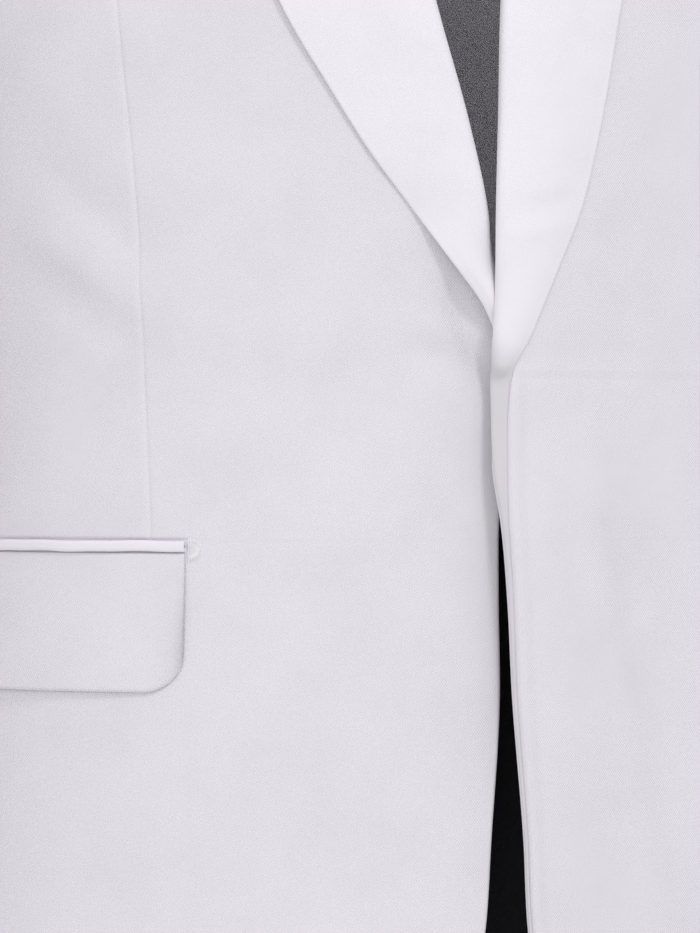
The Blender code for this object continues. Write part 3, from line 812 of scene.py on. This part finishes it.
def make_back(side, cloth):
    heights = lower_heights()
    outer = TRUNK.at(heights, "half_width") * SIDE_SEAM - SEAM_GAP
    share = crowded_line(0.0, 1.0, 44, EDGE_STEPS * 8, EDGE_STEPS * 4)
    x = SEAM_GAP + (outer[:, None] - SEAM_GAP) * share
    climb = np.broadcast_to((math.pi + (ARMPIT - heights) / CLIMB_RISE)[:, None], x.shape)
    up = crowded_line(0.0, 1.0, 55, np.array((0.0,)), EDGE_STEPS * 4)[1:]
    upper_outer = ARMHOLE.at(90 * up, "x") - SEAM_GAP
    upper_x = SEAM_GAP + (upper_outer[:, None] - SEAM_GAP) * share
    top = neckline_climb(upper_x) + SEAM_ANGLE
    x = np.vstack((x, upper_x))
    climb = np.vstack((climb, math.pi + (top - math.pi) * up[:, None]))
    outer = np.concatenate((outer, upper_outer))

    z = over_trunk(x, climb)[..., 2]
    lift = crease_relief(BACK_CREASES[side], x, z) + unevenness(x, z, 5 + side)
    lift = lift + turned_edge(x - SEAM_GAP, 0.0012, 0.0007)
    lift = lift + seam_edge((outer[:, None] - x) * 2)
    lift = lift + hem_edge(z - JACKET_HEM)
    points = lifted(over_trunk, x, climb, lift)[::-1]
    make_cloth("back_" + side_name(side), points, side, WOOL_WALL, cloth)


def armhole_point(turn):
    """The armhole's edge as a ring: 0 is the shoulder point, then the front, the underarm and the back."""
    turn = turn % math.tau
    down = np.minimum(np.minimum(turn, math.tau - turn) / ARMHOLE_CORNER, 1.0)
    climb = (1 - down) * math.pi / 2
    edge = over_trunk(ARMHOLE.at(90 * (1 - down), "x"), np.where(turn < math.pi, climb, math.pi - climb))
    seam = math.asin(SIDE_SEAM ** (ROUNDNESS / 2))
    share = np.clip((turn - ARMHOLE_CORNER) / (math.tau - 2 * ARMHOLE_CORNER), 0.0, 1.0)
    z = ARMPIT - UNDERARM_SCOOP * np.sin(math.pi * share)
    under = round_trunk(seam + (math.pi - 2 * seam) * share, z)
    return np.where((down < 1.0)[..., None], edge, under)


def sleeve_point(turn, step):
    """Points of the sleeve: it leaves the armhole's ring and settles into leaning ellipses."""
    zero = 0.0 * turn * step
    outer = np.stack((SLEEVE.at(step, "outer_x") + zero, zero, SLEEVE.at(step, "outer_z") + zero), axis=-1)
    inner = np.stack((SLEEVE.at(step, "inner_x") + zero, zero, SLEEVE.at(step, "inner_z") + zero), axis=-1)
    cos, sin = np.cos(turn) + zero, np.sin(turn) + zero
    sideways = SLEEVE.at(step, "centre_y") - SLEEVE.at(step, "half_depth") * sin
    arm = (outer + inner) / 2 + (outer - inner) / 2 * cos[..., None]
    arm = arm + np.stack((zero, sideways, zero), axis=-1)
    socket = armhole_point(turn + zero) + np.stack((ARMHOLE_GAP + 0.004 * step + zero, zero, zero), axis=-1)
    return socket + (arm - socket) * smooth_step(step / 3 + zero)[..., None]


def make_sleeve(side, cloth):
    steps = np.concatenate((np.linspace(0, 3, 45)[:-1], np.linspace(3, LAST_SLEEVE_STEP, 95)))
    steps = np.concatenate((steps, LAST_SLEEVE_STEP - EDGE_STEPS[:0:-1] / SLEEVE_STEP_LENGTH))
    steps = np.unique(np.round(steps, 5))
    gap = SEAM_ANGLE
    parts = (("top", gap - SLEEVE_SEAM, SLEEVE_SEAM - gap, 64),
             ("under", SLEEVE_SEAM + gap, math.tau - SLEEVE_SEAM - gap, 38))
    for part, start, end, count in parts:
        turns = crowded_line(start, end, count, EDGE_STEPS * 16, EDGE_STEPS * 16)
        turn, step = np.meshgrid(turns, steps)
        height = (SLEEVE.at(step, "outer_z") + SLEEVE.at(step, "inner_z")) / 2
        across = turn * ARM_RADIUS
        lift = crease_relief(SLEEVE_CREASES[side], across, height) * smooth_step((step - 0.5) / 2)
        lift = lift + unevenness(across, height, 7 + side, 0.0004)
        lift = lift + seam_edge(np.minimum(turn - start, end - turn) * ARM_RADIUS)
        lift = lift + hem_edge((LAST_SLEEVE_STEP - step) * SLEEVE_STEP_LENGTH)
        # The sleeve head is eased in, so it swells just outside its seam.
        lift = lift + 0.0026 * np.exp(-((step - 0.75) / 0.6) ** 2) * np.clip(np.cos(turn), 0, 1)
        points = lifted(sleeve_point, turn, step, lift)
        make_cloth(f"sleeve_{part}_{side_name(side)}", points, side, WOOL_WALL, cloth)


def shawl_roll(climb, side):
    """The shawl's fold line at a climb: its x, own side positive, and its stand above the neckline."""
    degrees = np.degrees(climb)
    x = front_edge(ARMPIT + climb * CLIMB_RISE, side)
    for _ in range(8):
        x = front_edge(over_trunk(x, climb)[..., 2], side)
    blend = smooth_step((degrees - SHAWL_BLEND_START) / (90 - SHAWL_BLEND_START))
    x = np.where(climb > math.pi / 2, neckline_x(climb), x + (NECK_HALF - x) * blend)
    rise = smooth_step((degrees - SHAWL_BLEND_START) / (SHAWL_NECK.keys[0] - SHAWL_BLEND_START))
    return x, SHAWL_NECK.at(degrees, "stand") * rise


def shawl_edge(climb, side):
    """The shawl's outer edge across from a climb of its fold line: its x and its own climb."""
    degrees = np.degrees(climb)
    start = SHAWL_NECK.keys[0]
    z = over_trunk(shawl_roll(climb, side)[0], climb)[..., 2]
    x = side * SHAWL_EDGES.at(z, side_name(side))
    own_climb = climb_at(x, z)
    blend = smooth_step((degrees - SHAWL_BLEND_START) / (start - SHAWL_BLEND_START))
    neck_climb = np.radians(SHAWL_NECK.at(degrees, "edge_climb_degrees"))
    x = x + (SHAWL_NECK.at(degrees, "edge_x") - x) * blend
    return x, own_climb + (neck_climb - own_climb) * blend


def make_shawl(side, cloth):
    bottom = SHAWL_BOTTOM[side]
    low = climb_at(0.0, crowded_line(bottom, ARMPIT, 230 if side > 0 else 110, near_end=np.array((0.0,))))
    nape = math.pi / 2 + NECKLINE_DIP
    # The rows crowd towards the nape, where the neckline turns square to the middle of the back.
    behind_neck = nape - NECKLINE_DIP * np.linspace(1.0, NAPE_GAP, 60) ** 2
    high = np.concatenate((np.linspace(0, math.pi / 2, 90)[1:], behind_neck[1:]))
    climb = np.concatenate((low, high))
    roll_x, stand = shawl_roll(climb, side)
    edge_x, edge_climb = shawl_edge(climb, side)
    columns = crowded(roll_x, edge_x, 26, EDGE_STEPS, EDGE_STEPS * 0.8)
    share = (columns - roll_x[:, None]) / (edge_x - roll_x)[:, None]
    behind = smooth_step((climb - math.pi / 2) / 0.02)[:, None]
    even = crowded_line(0.0, 1.0, 26, EDGE_STEPS * 18, EDGE_STEPS * 14)
    share = share + (even - share) * behind
    x = roll_x[:, None] + (edge_x - roll_x)[:, None] * share
    own_climb = climb[:, None] + (edge_climb - climb)[:, None] * share
    z = over_trunk(x, own_climb)[..., 2]

    across = np.linalg.norm(over_trunk(edge_x, edge_climb) - over_trunk(roll_x, climb), axis=-1)[:, None]
    rolled = smooth_step((FACING_TOP - z) / 0.004) * (side > 0)
    off = SHAWL_OFF.at(z, side_name(side))
    bulge = (0.0016 + 0.25 * off * (side < 0)) * np.sin(math.pi * share) * (1 - rolled)
    lift = 0.0014 + (off - 0.0014) * share ** 1.4 + 0.0012 * (1 - rolled) * (1 - share) + bulge
    lift = lift + turned_edge(share * across, 0.0030, 0.0028) * (1 - rolled)
    lift = lift + turned_edge(share * across, 0.0009, 0.0008) * rolled
    lift = lift + turned_edge((1 - share) * across, 0.0009, 0.0005)
    # A pressed edge: the seam just inside the fold shows as a faint line.
    pressed = np.exp(-(((1 - share) * across - 0.0022) / 0.0006) ** 2)
    lift = lift - 0.00012 * pressed * (1 - rolled)
    if side > 0:
        lift = lift + crease_relief(LAPEL_CREASES, x, z)
    points = on_front(x, own_climb, side, lift)
    points[..., 2] += stand[:, None] * (1 - share) ** 1.3
    make_cloth("shawl_" + side_name(side), points, side, SHAWL_WALL, cloth)


def make_collar_stand(cloth):
    climb = np.linspace(math.radians(91), math.pi / 2 + NECKLINE_DIP, 50)
    x, stand = shawl_roll(climb, 1)
    foot = over_trunk(x, climb)
    inward = -foot * (1, 1, 0)
    inward /= np.linalg.norm(inward, axis=1, keepdims=True)
    share = crowded_line(0.0, 1.0, 14, EDGE_STEPS * 30, EDGE_STEPS * 30)[:, None, None]
    half = foot + inward * (STAND_INSET + 0.002 * share) + np.array((0, 0, 1)) * (
        0.0004 + (stand[:, None] - 0.0035) * share)
    other = half[:, -2::-1] * (-1, 1, 1)
    points = np.concatenate((half, other), axis=1)
    make_cloth("collar_stand", points, 1, STAND_WALL, cloth)


# ---------------------------------------------------------------- pockets

ARC_PER_ANGLE = 0.155 / (POCKET_END - POCKET_START)


def on_pocket_ground(angle, z, side, lift):
    """Points on the front and the side panel, where the pocket lies."""
    x = round_trunk(angle, z)[..., 0]
    return lifted(round_trunk, angle, z, lift + crease_relief(FRONT_CREASES[side], x, z))


def make_welt(side, cloth):
    """One folded strip: its face stands on the front, and both long edges turn back behind it."""
    angles = crowded_line(POCKET_START, POCKET_END, 60, EDGE_STEPS * 6, EDGE_STEPS * 6)
    turn = np.radians(np.linspace(-172, 172, 57))
    angle, turn = np.meshgrid(angles, turn)
    end = np.minimum(angle - POCKET_START, POCKET_END - angle) * ARC_PER_ANGLE
    z = POCKET_TOP - WELT_HEIGHT / 2 * (1 - 0.92 * signed_power(np.sin(turn), 0.75))
    z = z + 0.00016 * np.sin(angle * 21 + side) + 0.00010 * np.sin(angle * 47)
    lift = 0.0001 + 0.0013 * (1 + signed_power(np.cos(turn), 0.6)) + turned_edge(end, 0.0008, 0.0006)
    points = on_pocket_ground(angle, z, side, lift)
    make_cloth("pocket_welt_" + side_name(side), points, side, WELT_WALL, cloth)


def make_flap(side, cloth):
    top = POCKET_TOP - WELT_HEIGHT - 0.0002
    arc = (POCKET_END - POCKET_START) * ARC_PER_ANGLE
    along = crowded_line(0.0, arc, 110, EDGE_STEPS / 2, EDGE_STEPS / 2)
    near = np.minimum(along, arc - along)
    in_corner = np.clip(1 - near / FLAP_CORNER, 0.0, 1.0)
    rise = FLAP_CORNER * (1 - np.sqrt(1 - in_corner ** 2))
    depth = FLAP_HEIGHT - rise
    share = crowded_line(0.0, 1.0, 40, EDGE_STEPS * 18, EDGE_STEPS * 18)[::-1]
    z = top - depth[None, :] * share[:, None]
    forward = 0.0006 * share[:, None] * np.clip(1 - along / 0.05, 0.0, 1.0)
    angle = POCKET_START + (along - forward) / ARC_PER_ANGLE + 0.0 * z

    from_side = np.broadcast_to(near, z.shape)
    from_foot = (1 - share[:, None]) * depth
    # In a corner, the way to the edge is measured from the corner's own centre.
    corner_x = np.maximum(FLAP_CORNER - from_side, 0.0)
    corner_z = np.maximum(FLAP_CORNER - (z - (top - FLAP_HEIGHT)), 0.0)
    in_both = (corner_x > 0) & (corner_z > 0)
    to_edge = np.where(in_both, FLAP_CORNER - np.hypot(corner_x, corner_z), np.minimum(from_side, from_foot))
    hang = smooth_step(share[:, None])
    loose = np.clip(along / 0.025, 0.0, 1.0)
    belly = 0.0003 + 0.0008 * hang + 0.0005 * np.sin(math.pi * share[:, None])
    lift = 0.0014 + belly * (0.3 + 0.7 * loose)
    lift = lift + turned_edge(to_edge, 0.0014, 0.0010)
    lift = lift - 0.00012 * np.exp(-((to_edge - 0.0024) / 0.0006) ** 2)
    lift = lift + turned_edge(top - z, 0.0012, 0.0009) + unevenness(along, z, 11 + side, 0.00012)
    points = on_pocket_ground(angle, z, side, lift)
    make_cloth("pocket_flap_" + side_name(side), points, side, WOOL_WALL, cloth)


def make_tack(side, thread):
    """The half-moon tack at the pocket's front end: a bar down its flat side and stitches fanned round it."""
    bar_x = POCKET_START - 0.0011 / ARC_PER_ANGLE
    middle = POCKET_TOP - 0.0036
    half_width = 0.0038 * 1.25
    half_height = 0.0038 * 1.1
    thread_width = 0.0005
    stitches = [((across, -half_height), (across, half_height)) for across in (0.0, -thread_width)]
    for turn in np.radians(np.linspace(-84, 84, 21)):
        rim = (-half_width * math.cos(turn), half_height * math.sin(turn))
        stitches.append(((rim[0] * 0.40 - thread_width, rim[1] * 0.40), rim))
    curve = bpy.data.curves.new("tack", "CURVE")
    curve.dimensions = "3D"
    curve.bevel_depth = 0.00022
    curve.bevel_resolution = 2
    curve.use_fill_caps = True
    for ends in stitches:
        path = []
        for share, raised in ((0.0, 0.0), (0.25, 0.00022), (0.5, 0.0003), (0.75, 0.00022), (1.0, 0.0)):
            dx = ends[0][0] + (ends[1][0] - ends[0][0]) * share
            dz = ends[0][1] + (ends[1][1] - ends[0][1]) * share
            spot = on_pocket_ground(np.array(bar_x + dx / ARC_PER_ANGLE), np.array(middle + dz), side, raised)
            path.append(spot * (side, 1, 1))
        spline = curve.splines.new("POLY")
        spline.points.add(len(path) - 1)
        for point, place in zip(spline.points, path):
            point.co = (*place, 1.0)
    curve.materials.append(thread)
    piece = bpy.data.objects.new("pocket_tack_" + side_name(side), curve)
    bpy.context.scene.collection.objects.link(piece)
    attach(piece, "root")


# ---------------------------------------------------------------- trousers

def crotch_angle(z):
    """Where a leg's section stops: at the middle of the body above the fork, at the inseam below it."""
    reach = (TROUSERS.at(z, "centre_x") - SEAM_GAP) / TROUSERS.at(z, "half_width")
    stop = np.arcsin(signed_power(np.minimum(1.0, reach), ROUNDNESS / 2))
    return np.minimum(stop, math.pi / 2 - SEAM_ANGLE)


def leg_relief(across, z, side, middle):
    """Creases, and the pressed edge that runs down the middle of a trouser leg."""
    press = PRESS_CREASE * np.exp(-np.abs((across - middle) / PRESS_WIDTH) ** 1.4)
    press = press * smooth_step((-0.56 - z) / 0.12)
    return press + crease_relief(LEG_CREASES[side], across, z) + unevenness(across, z, 13 + side, 0.0005)


def make_trousers(side, cloth):
    heights = np.concatenate((np.linspace(TROUSER_HEM, -0.740, 120), np.linspace(-0.740, -0.660, 36)[1:],
                              np.linspace(-0.660, WAIST_TOP - WAISTBAND - SEAM_GAP, 30)[1:]))
    heights = np.unique(np.concatenate((heights, TROUSER_HEM + EDGE_STEPS)))
    inner = crotch_angle(heights)[:, None]
    outer = math.pi / 2 - SEAM_ANGLE
    share = crowded_line(0.0, 1.0, 52, EDGE_STEPS * 5, EDGE_STEPS * 5)
    z = np.broadcast_to(heights[:, None], (len(heights), len(share)))
    parts = (("front", -inner, 0.0), ("back", math.pi - outer, LEG_HALF_ROUND))
    for part, start, middle in parts:
        angle = start + (outer + inner) * share
        across = angle * (LEG_HALF_ROUND / math.pi)
        lift = leg_relief(across, z, side, middle)
        lift = lift + seam_edge(np.minimum(share, 1 - share) * LEG_HALF_ROUND)
        lift = lift + hem_edge(z - TROUSER_HEM)
        points = lifted(round_trousers, angle, z, lift)
        make_cloth(f"trouser_{part}_{side_name(side)}", points, side, TROUSER_WALL, cloth)


def make_waistband(side, cloth):
    angles = crowded_line(0.002, math.pi - 0.002, 120, EDGE_STEPS * 6, EDGE_STEPS * 6)
    heights = crowded_line(WAIST_TOP - WAISTBAND, WAIST_TOP, 16)
    angle, z = np.meshgrid(angles, heights)
    edge = np.minimum(z - heights[0], heights[-1] - z)
    lift = 0.0006 + hem_edge(edge) + unevenness(angle * 0.1, z, 17 + side)
    points = lifted(round_trousers, angle, z, lift)
    make_cloth("waistband_" + side_name(side), points, side, WAISTBAND_WALL, cloth)


# ---------------------------------------------------------------- camera, light, floor

def aim(thing, target):
    thing.rotation_euler = (Vector(target) - thing.location).to_track_quat("-Z", "Y").to_euler()


def make_camera():
    yaw = math.radians(-15)
    distance = 2.0
    target = Vector((-0.0104, 0.0028, -0.469))
    view_height = 0.3266
    camera = bpy.data.objects.new("camera", bpy.data.cameras.new("camera"))
    camera.location = target + Vector((math.sin(yaw), -math.cos(yaw), 0.0)) * distance
    camera.data.sensor_width = 36.0
    front_depth = 0.140
    camera.data.lens = 36.0 * (distance - front_depth) / view_height
    aim(camera, target)
    bpy.context.scene.collection.objects.link(camera)
    bpy.context.scene.camera = camera


def make_light(name, place, target, size, power, colour):
    data = bpy.data.lights.new(name, "AREA")
    data.shape = "DISK"
    data.size = size
    data.energy = power
    data.color = colour
    light = bpy.data.objects.new(name, data)
    light.location = place
    aim(light, target)
    bpy.context.scene.collection.objects.link(light)


def make_studio():
    waist = (0.0, -0.1, -0.47)
    make_light("key", (0.62, -2.25, 1.60), waist, 0.55, 23, (1.0, 0.985, 1.0))
    make_light("fill", (-2.0, -2.5, 0.0), waist, 2.8, 18, (1.0, 0.985, 1.0))
    make_light("back", (0.5, 2.8, 1.2), waist, 2.4, 20, (1.0, 0.985, 1.0))
    world = bpy.data.worlds.new("studio")
    world.use_nodes = True
    world.node_tree.nodes["Background"].inputs["Color"].default_value = (0.96, 0.94, 0.965, 1.0)
    world.node_tree.nodes["Background"].inputs["Strength"].default_value = 0.74
    bpy.context.scene.world = world
    bpy.context.scene.view_settings.view_transform = "Standard"

    mesh = bpy.data.meshes.new("floor")
    reach = 8.0
    level = TROUSER_HEM - 0.006
    mesh.from_pydata([(-reach, -reach, level), (reach, -reach, level), (reach, reach, level),
                      (-reach, reach, level)], [], [(0, 1, 2, 3)])
    mesh.materials.append(plain("floor", (0.80, 0.80, 0.81), 0.9))
    floor = bpy.data.objects.new("floor", mesh)
    bpy.context.scene.collection.objects.link(floor)


# ---------------------------------------------------------------- all of it

make_camera()
make_studio()

white_wool = wool("white_wool_cloth", (0.82, 0.805, 0.845), (0.765, 0.747, 0.793), 0.00072, 0.00012, 0.15)
white_facing = wool("white_facing_cloth", (0.88, 0.865, 0.90), (0.81, 0.795, 0.84), 0.00055, 0.00004, 0.15)
# Painted shade: the facing rolled out below the left closing is darkened in its colour, standing in for its
# turn away from the light.
paint_shade_below(white_facing, 0.6, FACING_TOP - 0.0005, FACING_TOP + 0.0160, 0.76)
white_piping = wool("white_piping_cloth", (0.87, 0.855, 0.89), (0.80, 0.785, 0.83), 0.00055, 0.00004, 0.15)
black_wool = wool("black_wool_cloth", (0.012, 0.012, 0.014), (0.007, 0.007, 0.009), 0.00080, 0.00008, 0.05)
white_thread = silk_thread("white_thread", (0.86, 0.85, 0.87))

for own_side in (-1, 1):
    make_front(own_side, white_wool)
    make_side(own_side, white_wool)
    make_back(own_side, white_wool)
    make_sleeve(own_side, white_wool)
    make_shawl(own_side, white_facing)
    make_welt(own_side, white_piping)
    make_flap(own_side, white_wool)
    make_tack(own_side, white_thread)
    make_trousers(own_side, black_wool)
    make_waistband(own_side, black_wool)
make_collar_stand(white_wool)
